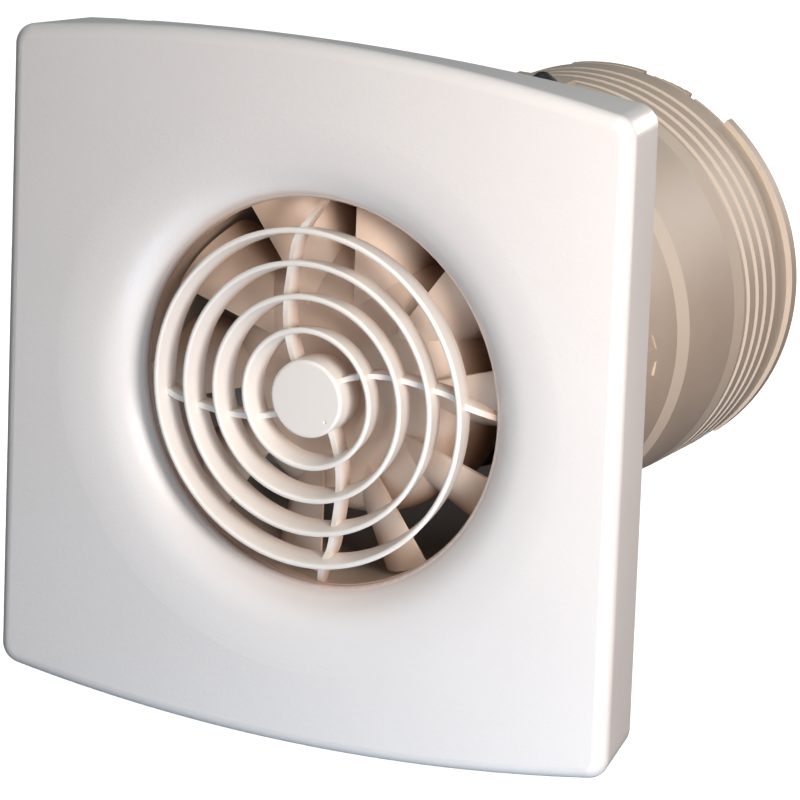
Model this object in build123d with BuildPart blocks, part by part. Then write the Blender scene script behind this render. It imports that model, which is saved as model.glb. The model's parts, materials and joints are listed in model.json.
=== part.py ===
from build123d import *
import os
from math import cos, radians, sin

# Bathroom extractor fan for a 100 mm duct.  Millimetres, +Z up, the front faces -Y.
# The origin is on the fan axis in the wall plane (y = 0, the back edge of the cover).
os.makedirs("parts", exist_ok=True)

# ---- front cover -------------------------------------------------------------------
cover_front_y = -22.05
cover_wall = 2.2
cover_edge_r = 3.0
cover_corner_r = 5.0
front_half_w, front_corner_h, front_mid_h = 80.6, 77.0, 84.3
back_half_w, back_corner_h, back_mid_h = 75.9, 75.5, 79.6
bowl_r = 65.5
bowl_front = ((58.6, -21.48), (54.0, -20.55), (50.6, -18.75))
bowl_back = ((53.2, -17.0), (58.6, -19.2))
lip_r, lip_y = 45.85, -15.3
lip_back_y = -13.4
pry_slot_x, pry_slot_w, pry_slot_d = -58.5, 7.0, 1.6
dimple_x, dimple_y, dimple_z, dimple_r = -4.0, -12.3, 82.6, 1.6
peg_x, peg_z, peg_r = 64.0, 61.0, 1.9

# ---- inlet grille ------------------------------------------------------------------
ring_radii = (40.2, 32.5, 24.7, 16.85)
ring_front_y, ring_back_y = -21.7, -15.0
ring_front_wall, ring_back_wall, ring_taper = 1.3, 1.5, 1.0
arm_t, arm_knee_r = 1.25, 39.5
arm_front_y, arm_back_y = -18.4, -13.6
arm_points = ((6.1, 4.3), (9.5, 5.8), (12.5, 6.7), (16.1, 7.4), (19.8, 7.6), (23.7, 7.5),
              (27.4, 7.1), (31.7, 6.5), (36.0, 5.7), (39.3, 4.1), (41.4, 3.0), (46.4, 0.8))
grille_hub_r, grille_hub_front_y, grille_hub_back_y = 9.2, -21.4, -12.5
grille_rim_r, grille_rim_front_y, grille_rim_back_y = 49.2, -13.2, -10.9
stake_r, stake_pitch_r = 1.2, 52.2

# ---- housing -----------------------------------------------------------------------
plate_t, plate_rim_h, plate_rim_t = 2.5, 3.5, 1.8
plate_half_w, plate_corner_h, plate_mid_h = 72.8, 72.4, 76.4
throat_r, collar_r = 47.0, 49.0
throat_front_y, collar_end_y = -10.2, 72.5
neck_r, neck_end_y = 48.3, 94.0
wall_hole_x, wall_hole_z, wall_hole_r = 60.0, 46.0, 2.3
tunnel_x0, tunnel_x1, tunnel_top_z, tunnel_wall = -11.0, 4.0, 55.8, 1.3
cradle_r, cradle_front_y, cradle_back_y, cradle_wall = 33.0, 50.0, 62.0, 2.0
cradle_shaft_hole_r, vane_t, vane_foot_w, vane_foot_t = 9.0, 2.2, 11.0, 3.4
mount_pitch_r = 19.0

# ---- wiring ------------------------------------------------------------------------
term_x, term_z, term_w, term_h, term_front_y = -44.0, 59.0, 24.0, 11.0, -13.0
term_lid_screw_x, term_lid_screw_z, term_lid_screw_y = -44.0, 48.0, 9.0
clamp_x, clamp_z, clamp_pitch, clamp_post_y = -18.0, 61.0, 6.5, 6.5
lead_x, lead_y, lead_z, lead_r = -2.5, 48.2, 51.1, 0.8
arrow_points = ((58.7, 5.1), (68.2, 1.0), (59.7, -4.9), (60.9, -1.6), (54.4, -0.6), (54.4, 1.6),
                (60.8, 1.4))

# ---- ribbed sleeve -----------------------------------------------------------------
sleeve_r, sleeve_seat_r, sleeve_bore_r, sleeve_end_y = 49.9, 48.4, 47.4, 131.3
bevel_end_y, band_end_y, ribs_start_y, ribs_end_y = 77.4, 102.2, 107.4, 127.0
groove_ys, groove_w, groove_d = (109.6, 114.6, 119.1, 124.0), 1.9, 0.9
lip_ring_r, lip_ring_front_y, lip_ring_end_y = 49.8, 131.7, 134.3
lip_ring_x, lip_ring_z = 1.5, 0.73
tab_end_y, low_tab_end_y, ramp_drop = 133.5, 132.2, 0.37
entry_x0, entry_x1, entry_base_z, entry_top_z, entry_back_y = -11.0, 4.1, 48.45, 52.1, 103.1
ramp_y0, ramp_y1 = 78.0, 88.0
grommet_x, grommet_y, grommet_neck_r = -0.7, 95.0, 2.3

# ---- impeller ----------------------------------------------------------------------
blade_count, blade_first_deg, blade_tip_r = 10, 17.9, 46.0
hub_r, hub_front_y, hub_rim_y, hub_back_y, hub_wall = 33.5, -8.9, 8.8, 16.5, 1.8
blade_t, blade_offset = 0.9, -3.1
blade_front_y, blade_knee_y, blade_back_y, trail_corner_r = -5.2, -2.3, 8.5, 3.5

# ---- motor -------------------------------------------------------------------------
can_r, can_wall = 27.0, 1.2
can_front_y, can_split_y, can_back_y = 22.0, 40.0, 58.0
core_r, core_bore_r, core_front_y, core_back_y = 25.7, 11.3, 33.0, 47.0
rotor_r = 10.8
shaft_r, shaft_front_y, shaft_back_y = 2.0, -9.4, 61.0
bearing_r, bearing_len, running_gap = 5.0, 8.0, 0.05


def bulged_square(half_w, corner_h, mid_h, corner_r):
    """Outline with straight sides and bowed top and bottom edges."""
    with BuildSketch(mode=Mode.PRIVATE) as outline:
        with BuildLine():
            ThreePointArc((-half_w, corner_h), (0, mid_h), (half_w, corner_h))
            Line((half_w, corner_h), (half_w, -corner_h))
            ThreePointArc((half_w, -corner_h), (0, -mid_h), (-half_w, -corner_h))
            Line((-half_w, -corner_h), (-half_w, corner_h))
        make_face()
        fillet(outline.vertices(), corner_r)
    return outline.sketch


def facing(y):
    """Plane across the fan axis at depth y: local X is +X, local Y is +Z, normal is -Y."""
    return Plane(origin=(0, y, 0), x_dir=(1, 0, 0), z_dir=(0, -1, 0))


def round_bar(radius, y_from, y_to, x=0.0, z=0.0, mode=Mode.ADD):
    """Cylinder lying along Y between two depths."""
    with BuildSketch(Plane(origin=(x, y_from, z), x_dir=(1, 0, 0), z_dir=(0, 1, 0))) as disc:
        Circle(radius)
    extrude(disc.sketch, amount=y_to - y_from, mode=mode)


def spun(points, mode=Mode.ADD):
    """Body of revolution about Y from (radius, y) corner points."""
    with BuildSketch(Plane.XY) as half:
        with BuildLine():
            Polyline(*points, close=True)
        make_face()
    revolve(half.sketch, axis=Axis.Y, mode=mode)


def block(x0, x1, y0, y1, z0, z1, mode=Mode.ADD):
    """Plain box between two corners."""
    with Locations(((x0 + x1) / 2, (y0 + y1) / 2, (z0 + z1) / 2)):
        Box(x1 - x0, y1 - y0, z1 - z0, mode=mode)


# ---- front_cover -------------------------------------------------------------------
with BuildPart() as front_cover:
    with BuildSketch(facing(0)):
        add(bulged_square(back_half_w, back_corner_h, back_mid_h, cover_corner_r))
    with BuildSketch(facing(cover_front_y)):
        add(bulged_square(front_half_w, front_corner_h, front_mid_h, cover_corner_r))
    loft(ruled=True)
    fillet(front_cover.faces().sort_by(Axis.Y)[0].edges(), cover_edge_r)
    with BuildSketch(facing(0)):
        add(bulged_square(back_half_w - cover_wall, back_corner_h - cover_wall,
                          back_mid_h - cover_wall, cover_corner_r - 2))
    with BuildSketch(facing(cover_front_y + cover_wall)):
        add(bulged_square(front_half_w - cover_wall - 0.6, front_corner_h - cover_wall - 0.6,
                          front_mid_h - cover_wall - 0.6, cover_corner_r - 2))
    loft(ruled=True, mode=Mode.SUBTRACT)
    round_bar(bowl_r, cover_front_y - 1, cover_front_y + cover_wall + 1, mode=Mode.SUBTRACT)
    with BuildSketch(Plane.XY):
        with BuildLine():
            Line((bowl_r + 1.5, cover_front_y), (bowl_r, cover_front_y))
            Spline((bowl_r, cover_front_y), *bowl_front, (lip_r + 1.0, lip_y), tangents=((-1, 0), (-0.68, 0.73)))
            ThreePointArc((lip_r + 1.0, lip_y), (lip_r + 0.2, lip_y + 0.6), (lip_r, lip_y + 1.1))
            Line((lip_r, lip_y + 1.1), (lip_r, lip_back_y))
            Line((lip_r, lip_back_y), (lip_r + 4.0, lip_back_y))
            Spline((lip_r + 4.0, lip_back_y), *bowl_back, (bowl_r, cover_front_y + cover_wall),
                   tangents=((0.55, -0.83), (1, 0)))
            Line((bowl_r, cover_front_y + cover_wall), (bowl_r + 1.5, cover_front_y + cover_wall))
            Line((bowl_r + 1.5, cover_front_y + cover_wall), (bowl_r + 1.5, cover_front_y))
        make_face()
    revolve(axis=Axis.Y)
    for sx in (-1, 1):
        for sz in (-1, 1):
            round_bar(peg_r + 1.4, cover_front_y + 1.0, -13.0, sx * peg_x, sz * peg_z)
            round_bar(peg_r, -13.5, -4.6, sx * peg_x, sz * peg_z)
    for k in range(4):
        a = radians(45 + 90 * k)
        round_bar(stake_r, -17.6, grille_rim_back_y + 0.9, stake_pitch_r * cos(a), stake_pitch_r * sin(a))
    block(pry_slot_x - pry_slot_w / 2, pry_slot_x + pry_slot_w / 2, -pry_slot_d, 1, 70, 90,
          mode=Mode.SUBTRACT)
    with Locations((dimple_x, dimple_y, dimple_z)):
        Sphere(dimple_r, mode=Mode.SUBTRACT)
front_cover.part.label = "front_cover"
export_step(front_cover.part, "parts/front_cover.step")

# ---- inlet_grille ------------------------------------------------------------------
with BuildPart() as grille_arm:
    with BuildSketch(facing(grille_rim_back_y)):
        with BuildLine() as arm_line:
            Spline(*arm_points)
        trace(line_width=arm_t)
    extrude(amount=grille_rim_back_y - arm_front_y)
    spun(((arm_knee_r, -25), (arm_knee_r, arm_front_y), (lip_r - 0.3, lip_back_y + 0.1),
          (lip_r + 1.7, lip_back_y + 0.15), (lip_r + 1.7, -25)), mode=Mode.SUBTRACT)
    spun(((0, arm_back_y), (arm_knee_r + 0.4, arm_back_y), (lip_r - 0.3, grille_rim_back_y - 0.2),
          (lip_r - 0.3, -10), (0, -10)), mode=Mode.SUBTRACT)
    round_bar(6.5, -25, -10, mode=Mode.SUBTRACT)
with BuildPart() as inlet_grille:
    for r in ring_radii:
        soft = ring_front_wall / 2
        with BuildSketch(Plane.XY):
            with BuildLine():
                Line((r - ring_front_wall, ring_front_y + soft),
                     (r - ring_taper - ring_back_wall, ring_back_y))
                Line((r - ring_taper - ring_back_wall, ring_back_y), (r - ring_taper, ring_back_y))
                Line((r - ring_taper, ring_back_y), (r, ring_front_y + soft))
                ThreePointArc((r, ring_front_y + soft), (r - soft, ring_front_y),
                              (r - ring_front_wall, ring_front_y + soft))
            make_face()
        revolve(axis=Axis.Y)
    round_bar(grille_hub_r, grille_hub_front_y, grille_hub_back_y)
    fillet(inlet_grille.faces().filter_by(Axis.Y).sort_by(Axis.Y)[0].edges(), 0.8)
    for k in range(4):
        add(grille_arm.part.rotate(Axis.Y, 90 * k))
    spun(((lip_r - 0.2, grille_rim_front_y), (grille_rim_r, grille_rim_front_y),
          (grille_rim_r, grille_rim_back_y), (lip_r - 0.2, grille_rim_back_y)))
    for k in range(4):
        a = radians(45 + 90 * k)
        ex = stake_pitch_r * cos(a)
        ez = stake_pitch_r * sin(a)
        round_bar(3.2, grille_rim_front_y, grille_rim_back_y, ex, ez)
        round_bar(stake_r + 0.05, grille_rim_front_y - 1, grille_rim_back_y + 1, ex, ez,
                  mode=Mode.SUBTRACT)
    with Locations((5.2, grille_hub_front_y - 0.1, -4.6)):
        Sphere(0.45, mode=Mode.SUBTRACT)
inlet_grille.part.label = "inlet_grille"
export_step(inlet_grille.part, "parts/inlet_grille.step")

# ---- wall_plate --------------------------------------------------------------------
with BuildPart() as wall_plate:
    with BuildSketch(facing(0)):
        add(bulged_square(plate_half_w, plate_corner_h, plate_mid_h, 3.0))
    extrude(amount=plate_t)
    with BuildSketch(facing(-plate_t)):
        add(bulged_square(plate_half_w, plate_corner_h, plate_mid_h, 3.0))
        offset(amount=-plate_rim_t, mode=Mode.SUBTRACT)
    extrude(amount=plate_rim_h)
    block(tunnel_x0 - 0.05, tunnel_x1 + 0.05, -plate_t - 1, 1, 40.0, tunnel_top_z + 0.05, mode=Mode.SUBTRACT)
    round_bar(collar_r, -plate_t - 1, 1, mode=Mode.SUBTRACT)
    for sx in (-1, 1):
        for sz in (-1, 1):
            round_bar(peg_r + 2.0, -10.5, -1.0, sx * peg_x, sz * peg_z)
            round_bar(peg_r + 0.35, -11.0, -3.0, sx * peg_x, sz * peg_z, mode=Mode.SUBTRACT)
            round_bar(wall_hole_r + 2.2, -5.5, -1.0, sx * wall_hole_x, sz * wall_hole_z)
            round_bar(wall_hole_r, -6.0, 1.0, sx * wall_hole_x, sz * wall_hole_z, mode=Mode.SUBTRACT)
    # bosses for the terminal cover and the cable clamp
    round_bar(3.0, -term_lid_screw_y, -1.0, term_lid_screw_x, term_lid_screw_z)
    round_bar(1.3, -term_lid_screw_y - 1, -1.0, term_lid_screw_x, term_lid_screw_z, mode=Mode.SUBTRACT)
    for dz in (-clamp_pitch, clamp_pitch):
        round_bar(2.6, -clamp_post_y, -1.0, clamp_x, clamp_z + dz)
        round_bar(1.3, -clamp_post_y - 1, -1.0, clamp_x, clamp_z + dz, mode=Mode.SUBTRACT)
wall_plate.part.label = "wall_plate"
export_step(wall_plate.part, "parts/wall_plate.step")

# ---- fan_housing: throat, collar and neck --------------------------------------------
with BuildPart() as fan_housing:
    round_bar(collar_r, throat_front_y, collar_end_y)
    round_bar(neck_r, collar_end_y, neck_end_y)
    round_bar(throat_r, throat_front_y - 1, collar_end_y, mode=Mode.SUBTRACT)
    round_bar(neck_r - 1.8, throat_front_y - 1, neck_end_y + 1, mode=Mode.SUBTRACT)
    # wire passage from the tunnel into the duct
    block(lead_x - 2.6, lead_x + 2.6, lead_y - 2.2, lead_y + 1.6, 44.0, 50.0, mode=Mode.SUBTRACT)
    # moulded flow arrow on the collar
    with BuildSketch(Plane(origin=(collar_r - 1.0, 0, 0), x_dir=(0, 1, 0), z_dir=(1, 0, 0))):
        with BuildLine():
            Polyline(*arrow_points, close=True)
        make_face()
    extrude(amount=1.35)
fan_housing.part.label = "fan_housing"
export_step(fan_housing.part, "parts/fan_housing.step")

# ---- cable_duct --------------------------------------------------------------------
with BuildPart() as cable_duct:
    block(tunnel_x0, tunnel_x1, -plate_t, collar_end_y, 45.0, tunnel_top_z)
    block(tunnel_x0 + tunnel_wall, tunnel_x1 - tunnel_wall, -plate_t - 1, collar_end_y + 1,
          44.0, tunnel_top_z - tunnel_wall, mode=Mode.SUBTRACT)
    round_bar(collar_r, -plate_t - 1, collar_end_y + 1, mode=Mode.SUBTRACT)
cable_duct.part.label = "cable_duct"
export_step(cable_duct.part, "parts/cable_duct.step")

# ---- motor_cradle: ring, back wall and four vanes with feet --------------------------
cradle_mid_y = (cradle_front_y + cradle_back_y) / 2
cradle_len = cradle_back_y - cradle_front_y
with BuildPart() as motor_cradle:
    round_bar(cradle_r, cradle_front_y, cradle_back_y)
    round_bar(cradle_r - cradle_wall, cradle_front_y - 1, cradle_back_y - cradle_wall, mode=Mode.SUBTRACT)
    round_bar(cradle_shaft_hole_r, cradle_front_y, cradle_back_y + 1, mode=Mode.SUBTRACT)
    for k in range(3):
        a = radians(90 + 120 * k)
        round_bar(3.05, cradle_front_y, cradle_back_y + 1, mount_pitch_r * cos(a),
                  mount_pitch_r * sin(a), mode=Mode.SUBTRACT)
    for k in range(4):
        a = radians(45 + 90 * k)
        turn = (0, -45 - 90 * k, 0)
        with Locations(Location(((cradle_r + throat_r) / 2 * cos(a), cradle_mid_y,
                                 (cradle_r + throat_r) / 2 * sin(a)), turn)):
            Box(throat_r - cradle_r + 2.6, cradle_len, vane_t)
        with Locations(Location(((throat_r - 0.5) * cos(a), cradle_mid_y, (throat_r - 0.5) * sin(a)), turn)):
            Box(vane_foot_t, cradle_len, vane_foot_w)
    spun(((throat_r, cradle_front_y - 1), (throat_r + 6, cradle_front_y - 1),
          (throat_r + 6, cradle_back_y + 1), (throat_r, cradle_back_y + 1)), mode=Mode.SUBTRACT)
motor_cradle.part.label = "motor_cradle"
export_step(motor_cradle.part, "parts/motor_cradle.step")

# ---- spigot_sleeve -----------------------------------------------------------------
def spun_arc(points, start_deg, end_deg, mode=Mode.ADD):
    """Part of a body of revolution between two angles, measured from +X toward +Z."""
    a = radians(end_deg)
    half_plane = Plane(origin=(0, 0, 0), x_dir=(cos(a), 0, sin(a)), z_dir=(-sin(a), 0, cos(a)))
    with BuildSketch(half_plane) as half:
        with BuildLine():
            Polyline(*points, close=True)
        make_face()
    revolve(half.sketch, axis=Axis.Y, revolution_arc=end_deg - start_deg, mode=mode)


def trim_rear(start_deg, end_deg, floor_y):
    """Cut the rear edge of the sleeve down to a depth, on both sides of the duct."""
    for turn in (0, 180):
        spun_arc(((40, floor_y), (60, floor_y), (60, 140), (40, 140)), start_deg + turn - 0.05,
                 end_deg + turn + 0.05, mode=Mode.SUBTRACT)


with BuildPart() as spigot_sleeve:
    spun(((sleeve_seat_r, collar_end_y + 0.1), (collar_r, collar_end_y + 0.1), (sleeve_r, bevel_end_y),
          (sleeve_r - 0.1, band_end_y), (sleeve_r - 0.5, band_end_y + 0.4), (sleeve_r + 0.1, ribs_start_y),
          (sleeve_r + 0.1, ribs_end_y), (sleeve_r - 0.1, ribs_end_y + 0.3),
          (sleeve_r - 0.1, lip_ring_end_y), (sleeve_bore_r, lip_ring_end_y),
          (sleeve_bore_r, neck_end_y + 0.2), (sleeve_seat_r, neck_end_y + 0.2)))
    for gy in groove_ys:
        g0 = gy - groove_w / 2
        g1 = gy + groove_w / 2
        spun(((sleeve_r - groove_d, g0 + 0.4), (sleeve_r + 1, g0 - 0.3), (sleeve_r + 1, g1 + 0.3),
              (sleeve_r - groove_d, g1 - 0.4)), mode=Mode.SUBTRACT)
    # raised rear lips, thickest at the right and the left and run out above and below
    for side in (-1, 1):
        round_bar(lip_ring_r, lip_ring_front_y, lip_ring_end_y, side * lip_ring_x, side * lip_ring_z)
    round_bar(sleeve_bore_r, lip_ring_front_y - 1, lip_ring_end_y + 1, mode=Mode.SUBTRACT)
    # stepped rear edge: the lip stays between -50 and 52 degrees, then tabs and a ramp
    for turn in (0, 180):
        spun_arc(((sleeve_r, lip_ring_front_y - 0.4), (60, lip_ring_front_y - 0.4), (60, 140),
                  (sleeve_r, 140)), 52 + turn, 130 + turn, mode=Mode.SUBTRACT)
    trim_rear(52, 63, low_tab_end_y)
    trim_rear(63, 64.8, sleeve_end_y)
    for step in range(6):
        trim_rear(64.8 + 2.4 * step, 67.2 + 2.4 * step, tab_end_y - ramp_drop * step)
    trim_rear(79.2, 80, sleeve_end_y)
    trim_rear(80, 103, tab_end_y)
    trim_rear(103, 130, sleeve_end_y)
    # cable-entry block on top
    with BuildSketch(Plane(origin=(entry_x0, 0, 0), x_dir=(0, 1, 0), z_dir=(1, 0, 0))):
        with BuildLine():
            Polyline((collar_end_y + 0.1, entry_base_z), (collar_end_y + 0.1, tunnel_top_z), (ramp_y0, tunnel_top_z),
                     (ramp_y1, entry_top_z), (entry_back_y, entry_top_z), (entry_back_y, entry_base_z), close=True)
        make_face()
    extrude(amount=entry_x1 - entry_x0)
    with BuildSketch(Plane(origin=(entry_x0 + tunnel_wall, 0, 0), x_dir=(0, 1, 0), z_dir=(1, 0, 0))):
        with BuildLine():
            Polyline((collar_end_y - 1, 45.5), (collar_end_y - 1, tunnel_top_z - tunnel_wall),
                     (ramp_y0 - 0.5, tunnel_top_z - tunnel_wall), (ramp_y1 - 0.5, entry_top_z - tunnel_wall),
                     (entry_back_y - tunnel_wall, entry_top_z - tunnel_wall),
                     (entry_back_y - tunnel_wall, 45.5), close=True)
        make_face()
    extrude(amount=entry_x1 - entry_x0 - 2 * tunnel_wall, mode=Mode.SUBTRACT)
    with Locations((grommet_x, grommet_y, entry_top_z)):
        Cylinder(grommet_neck_r, 6, mode=Mode.SUBTRACT)
spigot_sleeve.part.label = "spigot_sleeve"
export_step(spigot_sleeve.part, "parts/spigot_sleeve.step")

# ---- cable_grommet -----------------------------------------------------------------
with BuildPart() as cable_grommet:
    with BuildSketch(Plane.XZ.offset(-grommet_y)):
        with BuildLine():
            Polyline((grommet_x + 0.6, entry_top_z - 2.2), (grommet_x + 3.1, entry_top_z - 2.2),
                     (grommet_x + 3.1, entry_top_z - 1.3), (grommet_x + grommet_neck_r, entry_top_z - 1.3),
                     (grommet_x + grommet_neck_r, entry_top_z), (grommet_x + 3.7, entry_top_z),
                     (grommet_x + 3.5, entry_top_z + 0.7), (grommet_x + 1.2, entry_top_z + 2.6),
                     (grommet_x + 0.6, entry_top_z + 2.6), close=True)
        make_face()
    revolve(axis=Axis((grommet_x, grommet_y, 0), (0, 0, 1)))
cable_grommet.part.label = "cable_grommet"
export_step(cable_grommet.part, "parts/cable_grommet.step")

# ---- impeller ----------------------------------------------------------------------
def blade_section(u):
    """Curved strip of one blade at distance u from the axis."""
    reach = 6.2 + 0.268 * u
    with BuildSketch(Plane(origin=(u, 0, 0), x_dir=(0, 0, 1), z_dir=(1, 0, 0))) as strip:
        with BuildLine():
            ThreePointArc((blade_offset, -blade_front_y), (blade_offset - 0.52 * reach, -blade_knee_y),
                          (blade_offset - reach, -blade_back_y - 1))
        trace(line_width=blade_t)
    return strip.sketch


hub_rise = hub_rim_y - hub_front_y
with BuildPart() as blade:
    loft(sections=[blade_section(8.0), blade_section(27.0), blade_section(47.0)])
    with BuildSketch(Plane.XY) as sweep_zone:
        with BuildLine():
            Line((10, blade_back_y), (10, blade_front_y - 2))
            Line((10, blade_front_y - 2), (blade_tip_r, blade_front_y - 2))
            Line((blade_tip_r, blade_front_y - 2), (blade_tip_r, blade_back_y - trail_corner_r))
            RadiusArc((blade_tip_r, blade_back_y - trail_corner_r),
                      (blade_tip_r - trail_corner_r, blade_back_y), -trail_corner_r)
            Line((blade_tip_r - trail_corner_r, blade_back_y), (10, blade_back_y))
        make_face()
    revolve(sweep_zone.sketch, axis=Axis.Y, mode=Mode.INTERSECT)
with BuildPart() as impeller:
    with BuildSketch(Plane.XY):
        with BuildLine():
            Line((0, hub_front_y), (0, hub_back_y))
            Line((0, hub_back_y), (hub_r, hub_back_y))
            Line((hub_r, hub_back_y), (hub_r, hub_rim_y))
            EllipticalCenterArc((0, hub_rim_y), hub_r, hub_rise, start_angle=270, arc_size=90)
        make_face()
    revolve(axis=Axis.Y)
    for k in range(blade_count):
        add(blade.part.rotate(Axis.Y, -(blade_first_deg + 360 / blade_count * k)))
    with BuildSketch(Plane.XY):
        with BuildLine():
            Line((0, hub_front_y + hub_wall), (0, hub_back_y + 1))
            Line((0, hub_back_y + 1), (hub_r - hub_wall, hub_back_y + 1))
            Line((hub_r - hub_wall, hub_back_y + 1), (hub_r - hub_wall, hub_rim_y))
            EllipticalCenterArc((0, hub_rim_y), hub_r - hub_wall, hub_rise - hub_wall,
                                start_angle=270, arc_size=90)
        make_face()
    revolve(axis=Axis.Y, mode=Mode.SUBTRACT)
    round_bar(5.5, hub_front_y + 1.5, 19.5)
    for k in range(6):
        a = radians(30 + 60 * k)
        with Locations(Location((16.0 * cos(a), 6.0, 16.0 * sin(a)), (0, -30 - 60 * k, 0))):
            Box(26.0, 8.0, 1.4)
    round_bar(shaft_r + 0.02, hub_front_y - 1, 21, mode=Mode.SUBTRACT)
    round_bar(5.0, hub_front_y - 1, hub_front_y + 1.6, mode=Mode.SUBTRACT)
impeller.part.label = "impeller"
export_step(impeller.part, "parts/impeller.step")

# ---- impeller_clip -----------------------------------------------------------------
with BuildPart() as impeller_clip:
    spun(((shaft_r + 0.01, hub_front_y + 0.7), (4.4, hub_front_y + 0.9), (4.4, hub_front_y + 1.55),
          (shaft_r + 0.01, hub_front_y + 1.3)))
impeller_clip.part.label = "impeller_clip"
export_step(impeller_clip.part, "parts/impeller_clip.step")

# ---- motor_shaft -------------------------------------------------------------------
with BuildPart() as motor_shaft:
    round_bar(shaft_r, shaft_front_y, shaft_back_y)
    chamfer(motor_shaft.edges().filter_by(GeomType.CIRCLE), 0.3)
motor_shaft.part.label = "motor_shaft"
export_step(motor_shaft.part, "parts/motor_shaft.step")

# ---- rotor_core --------------------------------------------------------------------
with BuildPart() as rotor_core:
    round_bar(rotor_r, core_front_y - 0.5, core_back_y + 0.5)
    round_bar(shaft_r + 0.02, core_front_y - 1, core_back_y + 1, mode=Mode.SUBTRACT)
rotor_core.part.label = "rotor_core"
export_step(rotor_core.part, "parts/rotor_core.step")

# ---- rotor_cage --------------------------------------------------------------------
with BuildPart() as rotor_cage:
    for y0 in (core_front_y - 2.1, core_back_y + 0.5):
        round_bar(10.0, y0, y0 + 1.6)
        round_bar(6.0, y0 - 1, y0 + 3, mode=Mode.SUBTRACT)
rotor_cage.part.label = "rotor_cage"
export_step(rotor_cage.part, "parts/rotor_cage.step")

# ---- stator_core -------------------------------------------------------------------
with BuildPart() as stator_core:
    round_bar(core_r, core_front_y, core_back_y)
    round_bar(core_r - 4.0, core_front_y - 1, core_back_y + 1, mode=Mode.SUBTRACT)
    for k in range(4):
        a = radians(90 * k)
        with Locations(Location((18.0 * cos(a), (core_front_y + core_back_y) / 2, 18.0 * sin(a)),
                                (0, -90 * k, 0))):
            Box(8.4, core_back_y - core_front_y, 9.0)
    with BuildPart(mode=Mode.PRIVATE) as pole_shoes:
        round_bar(14.0, core_front_y, core_back_y)
        for k in range(2):
            with Locations(Location((0, (core_front_y + core_back_y) / 2, 0), (0, 45 + 90 * k, 0))):
                Box(40.0, 30.0, 3.0, mode=Mode.SUBTRACT)
    add(pole_shoes.part)
    round_bar(core_bore_r, core_front_y - 1, core_back_y + 1, mode=Mode.SUBTRACT)
stator_core.part.label = "stator_core"
export_step(stator_core.part, "parts/stator_core.step")

# ---- stator_coils ------------------------------------------------------------------
with BuildPart() as stator_coils:
    for k in range(4):
        a = radians(90 * k)
        at = Location((17.0 * cos(a), (core_front_y + core_back_y) / 2, 17.0 * sin(a)), (0, -90 * k, 0))
        with Locations(at):
            Box(5.2, core_back_y - core_front_y + 7.0, 16.0)
            Box(8.0, core_back_y - core_front_y + 0.4, 9.4, mode=Mode.SUBTRACT)
stator_coils.part.label = "stator_coils"
export_step(stator_coils.part, "parts/stator_coils.step")

# ---- motor_front_can ---------------------------------------------------------------
with BuildPart() as motor_front_can:
    round_bar(can_r, can_front_y, can_split_y - 0.05)
    round_bar(can_r - can_wall, can_front_y + can_wall, can_split_y, mode=Mode.SUBTRACT)
    round_bar(bearing_r + 1.5, can_front_y - 1.2, can_front_y + 6.0)
    round_bar(bearing_r + 0.02, can_front_y - 2, can_front_y + 7, mode=Mode.SUBTRACT)
    for k in range(6):
        a = radians(60 * k)
        round_bar(3.0, can_front_y - 1, can_front_y + 2, 16.0 * cos(a), 16.0 * sin(a), mode=Mode.SUBTRACT)
motor_front_can.part.label = "motor_front_can"
export_step(motor_front_can.part, "parts/motor_front_can.step")

# ---- motor_rear_can ----------------------------------------------------------------
with BuildPart() as motor_rear_can:
    round_bar(can_r, can_split_y + 0.05, can_back_y)
    round_bar(can_r - can_wall, can_split_y, can_back_y - can_wall, mode=Mode.SUBTRACT)
    round_bar(bearing_r + 1.5, can_back_y - 6.0, can_back_y + 1.2)
    round_bar(bearing_r + 0.02, can_back_y - 7, can_back_y + 2, mode=Mode.SUBTRACT)
    for k in range(3):
        a = radians(90 + 120 * k)
        round_bar(3.2, can_back_y - 5.0, can_back_y - 0.5, mount_pitch_r * cos(a), mount_pitch_r * sin(a))
        round_bar(1.45, can_back_y - 6, can_back_y + 1, mount_pitch_r * cos(a), mount_pitch_r * sin(a),
                  mode=Mode.SUBTRACT)
    with Locations((lead_x, lead_y, can_r - 1.0)):
        Cylinder(2.4, 6, mode=Mode.SUBTRACT)
motor_rear_can.part.label = "motor_rear_can"
export_step(motor_rear_can.part, "parts/motor_rear_can.step")

# ---- bearings ----------------------------------------------------------------------
with BuildPart() as front_bearing:
    round_bar(bearing_r, can_front_y - 1.4, can_front_y - 1.4 + bearing_len)
    round_bar(shaft_r + running_gap, can_front_y - 2, can_front_y + 10, mode=Mode.SUBTRACT)
front_bearing.part.label = "front_bearing"
export_step(front_bearing.part, "parts/front_bearing.step")

with BuildPart() as rear_bearing:
    round_bar(bearing_r, can_back_y + 1.4 - bearing_len, can_back_y + 1.4)
    round_bar(shaft_r + running_gap, can_back_y - 10, can_back_y + 3, mode=Mode.SUBTRACT)
rear_bearing.part.label = "rear_bearing"
export_step(rear_bearing.part, "parts/rear_bearing.step")

# ---- thrust_washers ----------------------------------------------------------------
with BuildPart() as thrust_washers:
    for y0 in (can_front_y - 1.4 + bearing_len, can_back_y + 1.4 - bearing_len - 0.5):
        round_bar(4.4, y0, y0 + 0.5)
        round_bar(shaft_r + 0.35, y0 - 1, y0 + 2, mode=Mode.SUBTRACT)
thrust_washers.part.label = "thrust_washers"
export_step(thrust_washers.part, "parts/thrust_washers.step")

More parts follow.
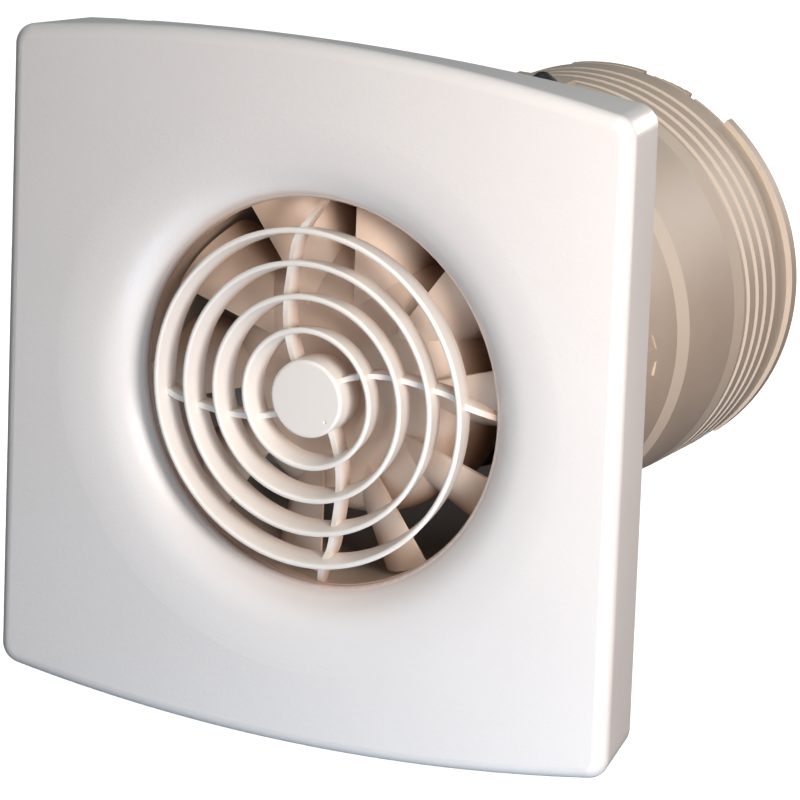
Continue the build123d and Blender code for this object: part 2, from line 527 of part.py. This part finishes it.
# ---- vibration_mounts and motor_screws ---------------------------------------------
with BuildPart() as vibration_mounts:
    for k in range(3):
        a = radians(90 + 120 * k)
        mx = mount_pitch_r * cos(a)
        mz = mount_pitch_r * sin(a)
        round_bar(4.4, can_back_y, cradle_back_y - 2.0, mx, mz)
        round_bar(3.0, cradle_back_y - 2.0, cradle_back_y, mx, mz)
        round_bar(4.4, cradle_back_y, cradle_back_y + 1.8, mx, mz)
        round_bar(1.6, can_back_y - 1, cradle_back_y + 3, mx, mz, mode=Mode.SUBTRACT)
vibration_mounts.part.label = "vibration_mounts"
export_step(vibration_mounts.part, "parts/vibration_mounts.step")

with BuildPart() as motor_screws:
    for k in range(3):
        a = radians(90 + 120 * k)
        mx = mount_pitch_r * cos(a)
        mz = mount_pitch_r * sin(a)
        round_bar(1.4, can_back_y - 4.0, cradle_back_y + 2.0, mx, mz)
        round_bar(2.9, cradle_back_y + 1.8, cradle_back_y + 3.8, mx, mz)
        block(mx - 1.9, mx + 1.9, cradle_back_y + 3.0, cradle_back_y + 5, mz - 0.35, mz + 0.35,
              mode=Mode.SUBTRACT)
        block(mx - 0.35, mx + 0.35, cradle_back_y + 3.0, cradle_back_y + 5, mz - 1.9, mz + 1.9,
              mode=Mode.SUBTRACT)
motor_screws.part.label = "motor_screws"
export_step(motor_screws.part, "parts/motor_screws.step")

# ---- terminal_block and its screws -------------------------------------------------
term_poles = (-7.5, 0.0, 7.5)
with BuildPart() as terminal_block:
    block(term_x - term_w / 2, term_x + term_w / 2, term_front_y, -plate_t, term_z - term_h / 2,
          term_z + term_h / 2)
    for dx in term_poles:
        with Locations((term_x + dx, term_front_y + 5.5, term_z)):
            Cylinder(1.7, term_h + 2, mode=Mode.SUBTRACT)
        for dz in (-2.8, 2.8):
            round_bar(1.6, term_front_y - 1, term_front_y + 5.5, term_x + dx, term_z + dz,
                      mode=Mode.SUBTRACT)
terminal_block.part.label = "terminal_block"
export_step(terminal_block.part, "parts/terminal_block.step")

with BuildPart() as terminal_screws:
    for dx in term_poles:
        for dz in (-2.8, 2.8):
            round_bar(1.5, term_front_y + 0.6, term_front_y + 4.2, term_x + dx, term_z + dz)
            block(term_x + dx - 1.2, term_x + dx + 1.2, term_front_y, term_front_y + 1.2,
                  term_z + dz - 0.25, term_z + dz + 0.25, mode=Mode.SUBTRACT)
terminal_screws.part.label = "terminal_screws"
export_step(terminal_screws.part, "parts/terminal_screws.step")

# ---- terminal_cover and its screw --------------------------------------------------
lid_front_y = term_front_y - 2.0
with BuildPart() as terminal_cover:
    lid_x0 = term_x - term_w / 2 - 3.0
    lid_x1 = term_x + term_w / 2 + 3.0
    lid_z0 = term_z - term_h / 2 - 2.5
    lid_z1 = term_z + term_h / 2 + 2.5
    block(lid_x0, lid_x1, lid_front_y, -plate_t - 0.05, lid_z0, lid_z1)
    block(lid_x0 + 1.2, lid_x1 - 1.2, lid_front_y + 1.2, 0, lid_z0 + 1.2, lid_z1 - 1.2,
          mode=Mode.SUBTRACT)
    block(lid_x1 - 2, lid_x1 + 1, -8.0, 0, term_z - 3.0, term_z + 3.0, mode=Mode.SUBTRACT)
    block(term_lid_screw_x - 3.0, term_lid_screw_x + 3.0, -term_lid_screw_y - 1.4, -term_lid_screw_y,
          term_lid_screw_z - 3.0, lid_z0 + 0.2)
    round_bar(1.6, -term_lid_screw_y - 3, 0, term_lid_screw_x, term_lid_screw_z, mode=Mode.SUBTRACT)
terminal_cover.part.label = "terminal_cover"
export_step(terminal_cover.part, "parts/terminal_cover.step")

with BuildPart() as terminal_cover_screw:
    round_bar(1.25, -term_lid_screw_y - 1.5, -3.0, term_lid_screw_x, term_lid_screw_z)
    round_bar(2.7, -term_lid_screw_y - 3.2, -term_lid_screw_y - 1.4, term_lid_screw_x, term_lid_screw_z)
    block(term_lid_screw_x - 1.8, term_lid_screw_x + 1.8, -term_lid_screw_y - 5, -term_lid_screw_y - 2.4,
          term_lid_screw_z - 0.35, term_lid_screw_z + 0.35, mode=Mode.SUBTRACT)
terminal_cover_screw.part.label = "terminal_cover_screw"
export_step(terminal_cover_screw.part, "parts/terminal_cover_screw.step")

# ---- cable_clamp and its screws ----------------------------------------------------
with BuildPart() as cable_clamp:
    block(clamp_x - 3.0, clamp_x + 3.0, -clamp_post_y - 2.2, -clamp_post_y, clamp_z - clamp_pitch - 2.8,
          clamp_z + clamp_pitch + 2.8)
    fillet(cable_clamp.edges().filter_by(Axis.Y), 1.5)
    for dz in (-clamp_pitch, clamp_pitch):
        round_bar(1.6, -clamp_post_y - 3, 0, clamp_x, clamp_z + dz, mode=Mode.SUBTRACT)
cable_clamp.part.label = "cable_clamp"
export_step(cable_clamp.part, "parts/cable_clamp.step")

with BuildPart() as cable_clamp_screws:
    for dz in (-clamp_pitch, clamp_pitch):
        round_bar(1.25, -clamp_post_y - 2.3, -3.0, clamp_x, clamp_z + dz)
        round_bar(2.6, -clamp_post_y - 4.0, -clamp_post_y - 2.2, clamp_x, clamp_z + dz)
        block(clamp_x - 1.8, clamp_x + 1.8, -clamp_post_y - 6, -clamp_post_y - 3.2,
              clamp_z + dz - 0.35, clamp_z + dz + 0.35, mode=Mode.SUBTRACT)
cable_clamp_screws.part.label = "cable_clamp_screws"
export_step(cable_clamp_screws.part, "parts/cable_clamp_screws.step")

# ---- motor_leads -------------------------------------------------------------------
with BuildPart() as motor_leads:
    for side in (-1.1, 1.1):
        stops = ((term_x + term_w / 2 + 0.3, -5.5, term_z + side), (-26.0, -5.0, 57.0 + side),
                 (-23.5, -5.0, 49.6 + side), (-14.0, -5.0, 49.6 + side), (-7.5 + side, -4.5, 51.9),
                 (-5.0 + side, 5.0, lead_z), (lead_x + side, 15.0, lead_z),
                 (lead_x + side, lead_y, lead_z), (lead_x + side, lead_y, 23.0))
        for start, end in zip(stops[:-1], stops[1:]):
            run = Vector(*end) - Vector(*start)
            with Locations(Plane(origin=start, z_dir=run)):
                Cylinder(lead_r, run.length, align=(Align.CENTER, Align.CENTER, Align.MIN))
            if end is not stops[-1]:
                with Locations(end):
                    Sphere(lead_r)
motor_leads.part.label = "motor_leads"
export_step(motor_leads.part, "parts/motor_leads.step")
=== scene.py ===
import json
import math

import bpy
from mathutils import Matrix, Vector


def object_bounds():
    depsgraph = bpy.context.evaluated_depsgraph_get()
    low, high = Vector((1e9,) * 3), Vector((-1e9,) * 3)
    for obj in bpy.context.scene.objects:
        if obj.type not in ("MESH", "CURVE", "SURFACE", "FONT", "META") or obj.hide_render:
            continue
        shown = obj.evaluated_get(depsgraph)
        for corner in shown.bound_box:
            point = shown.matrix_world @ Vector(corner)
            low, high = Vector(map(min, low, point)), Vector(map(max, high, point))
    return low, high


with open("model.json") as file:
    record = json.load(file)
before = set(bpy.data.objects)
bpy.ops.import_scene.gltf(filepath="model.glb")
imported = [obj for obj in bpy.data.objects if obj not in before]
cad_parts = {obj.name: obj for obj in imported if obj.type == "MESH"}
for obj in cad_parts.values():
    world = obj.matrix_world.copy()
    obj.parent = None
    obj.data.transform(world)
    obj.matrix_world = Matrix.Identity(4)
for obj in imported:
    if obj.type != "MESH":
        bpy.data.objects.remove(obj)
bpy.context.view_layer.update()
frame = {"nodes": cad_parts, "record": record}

# Metres per millimetre. Lengths are in metres unless a name or a note says mm.
MM = 0.001

# Colour sockets of a Mix node
MIX_FIRST, MIX_SECOND, MIX_RESULT = 6, 7, 2

# Where the painted shade in the inlet and inside the duct begins and ends, in mm. Y runs along the
# fan axis, away from the room, and the wall plane is at Y = 0.
COVER_DEPTH_Y = (-17.0, -13.0)
GRILLE_DEPTH_Y = (-18.5, -13.0)
BLADE_DEPTH_Y = (-5.0, 9.0)
INLET_RADII = (50, 56)
DUCT_WALL_RADII = (47.6, 48.1)
SHADED_INSIDE_Y = (-4, 20)

# Painted light on the slopes: Y of the surface normal, from a slope that faces the room to one
# along the axis
SLOPE_FACING = (-0.24, -0.02)
SLOPE_SHARE = 0.75
# Cream of the painted light on those slopes
LIT_SLOPE_CREAM = (0.86, 0.74, 0.62)
# Colour factors of the painted shade inside the duct
INSIDE_SHADE_FACTORS = (0.20, 0.14, 0.11)

# How far the gloss wanders to either side of a finish's roughness
PLASTIC_GLOSS = (-0.05, 0.07)
METAL_GLOSS = (-0.08, 0.1)

# Brushing stretches the streaks by this much along one direction
STREAKS_ALONG_X = (0.08, 1, 1)
STREAKS_ALONG_Y = (1, 0.08, 1)
STREAK_STRENGTH = 0.4
STREAK_DEPTH = 0.03 * MM

COAT_ROUGHNESS = 0.25
SUBSURFACE_RADIUS = (0.004, 0.003, 0.002)
SUBSURFACE_SCALE = 0.5


# ---- materials ---------------------------------------------------------------------
def new_material(name):
    mat = bpy.data.materials.new(name)
    mat.use_nodes = True
    return mat, mat.node_tree.nodes, mat.node_tree.links


def noise(nodes, links, vector, size_mm, detail):
    """Noise with features of about the given size."""
    texture = nodes.new("ShaderNodeTexNoise")
    texture.inputs["Scale"].default_value = 1.0 / (size_mm * MM)
    texture.inputs["Detail"].default_value = detail
    links.new(vector, texture.inputs["Vector"])
    return texture.outputs["Fac"]


def mix_of(nodes, links, factor, first, second, blend_type="MIX"):
    """Blend a colour or colour socket with a fixed second colour."""
    mix = nodes.new("ShaderNodeMix")
    mix.data_type = "RGBA"
    mix.blend_type = blend_type
    if isinstance(first, tuple):
        mix.inputs[MIX_FIRST].default_value = (*first, 1)
    else:
        links.new(first, mix.inputs[MIX_FIRST])
    mix.inputs[MIX_SECOND].default_value = (*second, 1)
    links.new(factor, mix.inputs["Factor"])
    return mix.outputs[MIX_RESULT]


def ramp_of(nodes, links, value, limits, results=(0.0, 1.0), smooth=True):
    """A value socket between two limits, carried over to a range of results."""
    step = nodes.new("ShaderNodeMapRange")
    if smooth:
        step.interpolation_type = "SMOOTHSTEP"
    step.inputs["From Min"].default_value, step.inputs["From Max"].default_value = limits
    step.inputs["To Min"].default_value, step.inputs["To Max"].default_value = results
    links.new(value, step.inputs["Value"])
    return step.outputs["Result"]


def in_metres(limits_mm):
    return tuple(limit * MM for limit in limits_mm)


def product(nodes, links, first, second):
    """Two value sockets multiplied."""
    both = nodes.new("ShaderNodeMath")
    both.operation = "MULTIPLY"
    links.new(first, both.inputs[0])
    links.new(second, both.inputs[1])
    return both.outputs["Value"]


def parts_of(nodes, links, vector):
    """X, Y and Z sockets of a vector."""
    split = nodes.new("ShaderNodeSeparateXYZ")
    links.new(vector, split.inputs["Vector"])
    return split.outputs


def axis_distance(nodes, links, place):
    """Distance of a place from the fan axis, from its X, Y and Z sockets."""
    across = nodes.new("ShaderNodeCombineXYZ")
    radius = nodes.new("ShaderNodeVectorMath")
    radius.operation = "LENGTH"
    links.new(place["X"], across.inputs["X"])
    links.new(place["Z"], across.inputs["Y"])
    links.new(across.outputs["Vector"], radius.inputs[0])
    return radius.outputs["Value"]


def painted_inlet_shade(nodes, links, position, colour, depth_y, shade):
    """Painted shade: darken whatever lies deep in the inlet, near the axis only."""
    place = parts_of(nodes, links, position)
    depth = ramp_of(nodes, links, place["Y"], in_metres(depth_y))
    distance = axis_distance(nodes, links, place)
    near_axis = ramp_of(nodes, links, distance, in_metres(INLET_RADII), (1.0, 0.0))
    factor = product(nodes, links, depth, near_axis)
    return mix_of(nodes, links, factor, colour, shade, "MULTIPLY")


def painted_lit_slopes(nodes, links, normal, colour):
    """Painted light: the bevels and rib flanks that face the room get a paler colour than the
    round walls, standing in for the light they catch.
    """
    facing = parts_of(nodes, links, normal)
    factor = ramp_of(nodes, links, facing["Y"], SLOPE_FACING, (SLOPE_SHARE, 0.0))
    return mix_of(nodes, links, factor, colour, LIT_SLOPE_CREAM)


def painted_inside_shade(nodes, links, position, colour):
    """Painted shade: darken whatever lies inside the duct's wall, from a little behind the throat.
    """
    place = parts_of(nodes, links, position)
    distance = axis_distance(nodes, links, place)
    inside = ramp_of(nodes, links, distance, in_metres(DUCT_WALL_RADII), (1.0, 0.0))
    behind = ramp_of(nodes, links, place["Y"], in_metres(SHADED_INSIDE_Y))
    factor = product(nodes, links, inside, behind)
    return mix_of(nodes, links, factor, colour, INSIDE_SHADE_FACTORS, "MULTIPLY")


def finish_surface(nodes, links, colour, pattern, relief, roughness, wander, strength, depth):
    """Connect a colour, an uneven gloss and a bump to the material's shader."""
    shader = nodes["Principled BSDF"]
    results = (roughness + wander[0], roughness + wander[1])
    bump = nodes.new("ShaderNodeBump")
    bump.inputs["Strength"].default_value = strength
    bump.inputs["Distance"].default_value = depth
    links.new(relief, bump.inputs["Height"])
    links.new(colour, shader.inputs["Base Color"])
    links.new(ramp_of(nodes, links, pattern, (0.0, 1.0), results, smooth=False),
              shader.inputs["Roughness"])
    links.new(bump.outputs["Normal"], shader.inputs["Normal"])
    return shader


def moulded(name, light, dark, roughness, grain_mm, grain_depth, coat=0.0, subsurface=0.0,
            blotch_mm=30.0, deep=None, duct=False):
    """Injection-moulded plastic: slow colour drift, fine spark-eroded grain, uneven gloss.

    grain_depth is in mm.
    deep = ((front y, back y) in mm, colour factors) paints shade onto the plastic with depth in
    the inlet.
    duct = True paints light onto the slopes that face the room and paints shade on the inside.
    """
    mat, nodes, links = new_material(name)
    coords = nodes.new("ShaderNodeTexCoord").outputs
    drift = noise(nodes, links, coords["Object"], blotch_mm, 3.0)
    grain = noise(nodes, links, coords["Object"], grain_mm, 2.0)
    colour = mix_of(nodes, links, drift, dark, light)
    # Painted shade, darker with depth in the inlet
    if deep:
        colour = painted_inlet_shade(nodes, links, coords["Object"], colour, *deep)
    # Painted light on the slopes that face the room, painted shade inside the duct
    if duct:
        colour = painted_lit_slopes(nodes, links, coords["Normal"], colour)
        # Painted shade inside the duct
        colour = painted_inside_shade(nodes, links, coords["Object"], colour)
    shader = finish_surface(nodes, links, colour, drift, grain, roughness, PLASTIC_GLOSS,
                            1.0, grain_depth * MM)
    shader.inputs["Coat Weight"].default_value = coat
    shader.inputs["Coat Roughness"].default_value = COAT_ROUGHNESS
    shader.inputs["Subsurface Weight"].default_value = subsurface
    shader.inputs["Subsurface Radius"].default_value = SUBSURFACE_RADIUS
    shader.inputs["Subsurface Scale"].default_value = SUBSURFACE_SCALE
    return mat


def metal(name, light, dark, roughness, streak_mm, streaks=STREAKS_ALONG_Y):
    """Bare or plated metal with fine directional streaks."""
    mat, nodes, links = new_material(name)
    coords = nodes.new("ShaderNodeTexCoord").outputs
    squeeze = nodes.new("ShaderNodeMapping")
    squeeze.inputs["Scale"].default_value = streaks
    links.new(coords["Object"], squeeze.inputs["Vector"])
    streak = noise(nodes, links, squeeze.outputs["Vector"], streak_mm, 4.0)
    colour = mix_of(nodes, links, streak, dark, light)
    shader = finish_surface(nodes, links, colour, streak, streak, roughness, METAL_GLOSS,
                            STREAK_STRENGTH, STREAK_DEPTH)
    shader.inputs["Metallic"].default_value = 1.0
    return mat


# name: lighter colour, darker colour, roughness, grain size in mm, grain depth in mm, and the rest
plastics = {
    # The deep entries paint shade, darker toward the back of the inlet
    "white_plastic": ((0.80, 0.775, 0.765), (0.77, 0.745, 0.735), 0.34, 0.7, 0.045,
                      {"coat": 0.15, "subsurface": 0.05,
                       "deep": (COVER_DEPTH_Y, (0.66, 0.50, 0.43))}),
    "grille_plastic": ((0.88, 0.835, 0.795), (0.83, 0.785, 0.745), 0.34, 0.7, 0.035,
                       {"coat": 0.2, "subsurface": 0.05,
                        "deep": (GRILLE_DEPTH_Y, (0.74, 0.58, 0.50))}),
    "impeller_plastic": ((0.86, 0.69, 0.57), (0.80, 0.63, 0.51), 0.36, 0.6, 0.02,
                         {"subsurface": 0.05, "blotch_mm": 14.0,
                          "deep": (BLADE_DEPTH_Y, (0.52, 0.38, 0.31))}),
    "cream_plastic": ((0.60, 0.49, 0.40), (0.50, 0.405, 0.325), 0.42, 0.6, 0.03,
                      {"subsurface": 0.05, "blotch_mm": 14.0, "duct": True}),
    # Near-black painted shade for the motor cradle deep in the duct
    "painted_shade_plastic": ((0.10, 0.07, 0.055), (0.05, 0.035, 0.027), 0.7, 0.6, 0.03, {}),
    "black_rubber": ((0.022, 0.022, 0.023), (0.012, 0.012, 0.013), 0.6, 0.3, 0.03, {}),
    "grey_plastic": ((0.46, 0.47, 0.48), (0.40, 0.41, 0.42), 0.45, 0.4, 0.02, {}),
    "fibre": ((0.36, 0.16, 0.08), (0.26, 0.11, 0.06), 0.7, 0.25, 0.04, {}),
    "wire_blue": ((0.06, 0.15, 0.45), (0.04, 0.11, 0.36), 0.4, 0.5, 0.01, {}),
}
# name: lighter colour, darker colour, roughness, streak size in mm, streak direction
metals = {
    # Near-black painted shade for the motor cans deep in the duct
    "painted_shade_steel": ((0.12, 0.10, 0.09), (0.06, 0.05, 0.045), 0.55, 1.2, STREAKS_ALONG_X),
    "zinc_steel": ((0.66, 0.67, 0.68), (0.52, 0.53, 0.55), 0.38, 1.2, STREAKS_ALONG_X),
    "bright_steel": ((0.72, 0.72, 0.73), (0.60, 0.60, 0.62), 0.22, 0.6, STREAKS_ALONG_Y),
    "dark_steel": ((0.30, 0.30, 0.32), (0.16, 0.16, 0.17), 0.5, 0.5, STREAKS_ALONG_X),
    "copper_enamel": ((0.60, 0.24, 0.08), (0.42, 0.15, 0.05), 0.3, 0.5, STREAKS_ALONG_Y),
    "cast_aluminium": ((0.72, 0.73, 0.74), (0.60, 0.61, 0.62), 0.5, 1.5, STREAKS_ALONG_Y),
    "sintered_bronze": ((0.60, 0.42, 0.20), (0.42, 0.28, 0.12), 0.5, 0.4, STREAKS_ALONG_Y),
}
finishes = {name: moulded(name, *values, **extras)
            for name, (*values, extras) in plastics.items()}
finishes.update({name: metal(name, *values) for name, values in metals.items()})

# pieces whose finish differs from their slot's plain one
variants = {
    "inlet_grille": "grille_plastic",
    "impeller": "impeller_plastic",
    # The motor cradle and cans are painted near-black as shade
    "motor_cradle": "painted_shade_plastic",
    "motor_front_can": "painted_shade_steel",
    "motor_rear_can": "painted_shade_steel",
}
slot_of = {entry["node"]: entry["material_slot"] for entry in frame["record"]["subparts"]}
for node, obj in frame["nodes"].items():
    obj.data.materials.clear()
    obj.data.materials.append(finishes[variants.get(node, slot_of[node])])

# ---- floor -------------------------------------------------------------------------
FLOOR_SIZE = 8.0
FLOOR_GREY = (0.5, 0.5, 0.5, 1)
FLOOR_ROUGHNESS = 0.9
WHITE = (1, 1, 1, 1)

low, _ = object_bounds()
bpy.ops.mesh.primitive_plane_add(size=FLOOR_SIZE, location=(0, 0, low[2]))
floor = bpy.context.object
floor.name = "floor"
floor_mat, floor_nodes, _ = new_material("floor")
floor_shader = floor_nodes["Principled BSDF"]
floor_shader.inputs["Base Color"].default_value = FLOOR_GREY
floor_shader.inputs["Roughness"].default_value = FLOOR_ROUGHNESS
floor_shader.inputs["Emission Color"].default_value = WHITE
floor_shader.inputs["Emission Strength"].default_value = 1.0
floor.data.materials.append(floor_mat)
# The floor is only a bright background: it throws no light back onto the fan.
floor.visible_diffuse = False
floor.visible_glossy = False
floor.visible_shadow = False


# ---- light -------------------------------------------------------------------------
def bearing(azimuth, elevation):
    """Unit vector from the origin toward a bearing: degrees from the front, degrees up."""
    a = math.radians(azimuth)
    e = math.radians(elevation)
    return Vector((math.sin(a) * math.cos(e), -math.cos(a) * math.cos(e), math.sin(e)))


def studio_world(low_colour, high_colour, strength, half_blend=0.6):
    """Even surroundings that turn from one colour below to another above."""
    world = bpy.data.worlds.new("studio")
    bpy.context.scene.world = world
    world.use_nodes = True
    nodes = world.node_tree.nodes
    links = world.node_tree.links
    direction = parts_of(nodes, links, nodes.new("ShaderNodeTexCoord").outputs["Generated"])
    height = ramp_of(nodes, links, direction["Z"], (-half_blend, half_blend), smooth=False)
    background = nodes["Background"]
    links.new(mix_of(nodes, links, height, low_colour, high_colour), background.inputs["Color"])
    background.inputs["Strength"].default_value = strength


def softbox(name, azimuth, elevation, distance, size, watts, colour):
    """Square area light aimed at the middle of the object."""
    away = bearing(azimuth, elevation)
    data = bpy.data.lights.new(name, "AREA")
    data.size = size
    data.energy = watts
    data.color = colour
    lamp = bpy.data.objects.new(name, data)
    lamp.rotation_euler = away.to_track_quat("Z", "Y").to_euler()
    lamp.location = away * distance
    bpy.context.scene.collection.objects.link(lamp)


studio_world((0.20, 0.14, 0.13), (0.95, 0.95, 0.94), 0.26)
# name, bearing and height in degrees, distance and width in metres, watts, colour
softbox("key", 53, 12, 0.42, 0.11, 1.18, (1.0, 0.925, 0.88))
softbox("key_warm", 43, 27, 0.36, 0.10, 0.34, (1.0, 0.88, 0.78))
softbox("top_cool", 20, 75, 1.0, 0.4, 2.2, (0.75, 0.92, 1.0))
softbox("rear", 168, 8, 0.9, 0.3, 2.0, (1.0, 0.95, 0.92))
softbox("low_cool", 22, -42, 0.32, 0.15, 0.34, (0.56, 0.80, 1.0))
softbox("low_right", 45, -30, 0.32, 0.15, 0.14, (1.0, 0.92, 0.96))

# ---- camera ------------------------------------------------------------------------
# Bearing, height and roll in degrees, place and lens in mm
AZIMUTH, ELEVATION, ROLL = 27.485, 15.755, 2.140
CAMERA_AT = Vector((753.71, -1423.26, 449.73)) * MM
SENSOR_MM = 36.0
LENS_MM = 324.9855
CLIP_START = 0.05

back = bearing(AZIMUTH, ELEVATION)
right = Vector((math.cos(math.radians(AZIMUTH)), math.sin(math.radians(AZIMUTH)), 0))
up = back.cross(right)
turn = (Matrix((right, up, back)).transposed()
        @ Matrix.Rotation(math.radians(ROLL), 3, "Z"))
camera_data = bpy.data.cameras.new("camera")
camera_data.sensor_width = SENSOR_MM
camera_data.lens = LENS_MM
camera_data.clip_start = CLIP_START
camera = bpy.data.objects.new("camera", camera_data)
camera.matrix_world = Matrix.Translation(CAMERA_AT) @ turn.to_4x4()
bpy.context.scene.collection.objects.link(camera)
bpy.context.scene.camera = camera
bpy.context.scene.view_settings.view_transform = "Standard"
